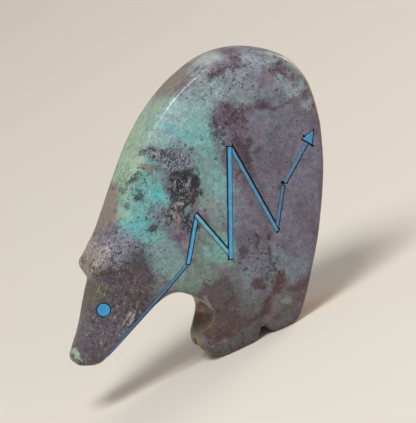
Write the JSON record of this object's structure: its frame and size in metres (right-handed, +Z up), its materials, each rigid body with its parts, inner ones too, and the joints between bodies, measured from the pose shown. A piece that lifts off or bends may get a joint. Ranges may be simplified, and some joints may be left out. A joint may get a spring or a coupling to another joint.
{
  "type": "zuni fetish",
  "caption": "Small standing bear carved from polished turquoise stone, head low, with an inlaid heartline arrow and an inlaid eye on each flank.",
  "frame": {"origin": "on the ground, midway between nose and rump and midway between the flanks", "axes": "the bear faces -X, its left flank faces -Y, +Z is up"},
  "size_m": [0.0658, 0.0156, 0.0555],
  "materials": {
    "stone": "polished turquoise stone, teal and lilac-brown with dark matrix",
    "inlay": "polished sky-blue inlay"
  },
  "bodies": {
    "root": {"bear": "stone", "left_arrowhead": "inlay", "left_rise_2": "inlay", "left_fall_1": "inlay", "left_rise_1": "inlay", "left_jaw": "inlay", "left_fall_2": "inlay", "left_rise_3": "inlay", "left_shaft": "inlay", "left_eye": "inlay", "right_arrowhead": "inlay", "right_rise_2": "inlay", "right_fall_1": "inlay", "right_rise_1": "inlay", "right_jaw": "inlay", "right_fall_2": "inlay", "right_shaft": "inlay", "right_eye": "inlay"}
  },
  "joints": []
}
